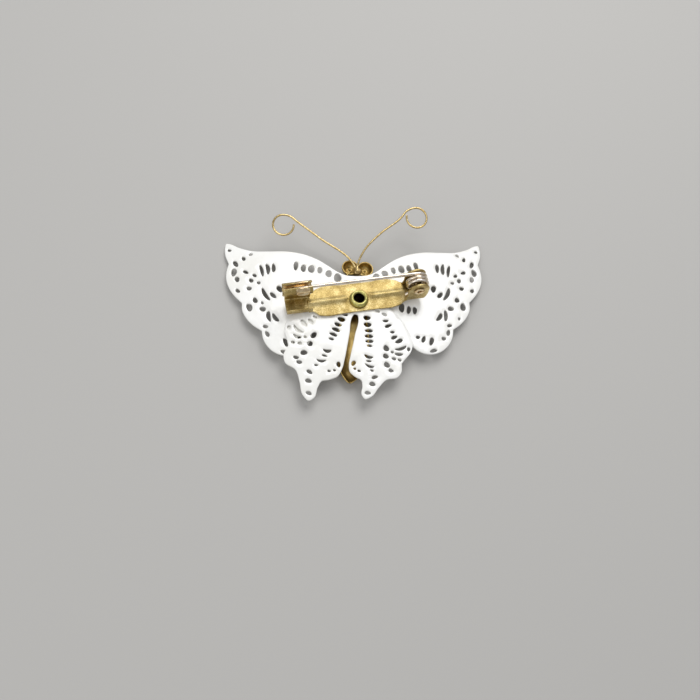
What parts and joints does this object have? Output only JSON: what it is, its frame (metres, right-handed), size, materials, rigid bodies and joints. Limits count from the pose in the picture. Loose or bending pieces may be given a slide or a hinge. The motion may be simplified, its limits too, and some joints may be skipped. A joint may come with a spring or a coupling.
{
  "type": "butterfly brooch",
  "caption": "Pierced white enamelled butterfly brooch, lying face down, with a gilt hollow body, curled wire antennae and a hinged pin back with a turning safety catch.",
  "frame": {"origin": "on the axis of the tubular rivet, on the surface the brooch lies on face down, which is under the middle of its outline", "axes": "+Z is the back of the brooch, upwards; +Y the head; +X the wing on the right as seen from the back"},
  "size_m": [0.0571, 0.0437, 0.0105],
  "materials": {
    "white_enamel": "glossy white enamel over stamped sheet",
    "gilt": "gold-coloured plating, slightly grainy",
    "raw_brass": "unplated yellow-green brass",
    "pin_wire": "drawn spring wire, pale gold flash",
    "solder": "gilt solder"
  },
  "bodies": {
    "brooch": {"forewing_plate": "white_enamel", "hindwing_plate": "white_enamel", "body_shell": "gilt", "body_bridge": "gilt", "antenna_left": "gilt", "antenna_right": "gilt", "antenna_solder": "solder", "pin_bar": "gilt", "hinge_rivet": "gilt", "tubular_rivet": "raw_brass"},
    "pin": {"pin_stem": "pin_wire"},
    "catch": {"catch_rotor": "gilt"}
  },
  "joints": [
    {"name": "pin_hinge", "type": "hinge", "parent": "brooch", "child": "pin", "pos_m": [0.0121, 0.00231, 0.00815], "axis": [-0.1392, 0.9903, 0], "range_deg": [0, 105]},
    {"name": "catch_turn", "type": "hinge", "parent": "brooch", "child": "catch", "pos_m": [-0.0131, 0.00053, 0.00875], "axis": [-0.9903, -0.1392, 0], "range_deg": [0, 100]}
  ]
}
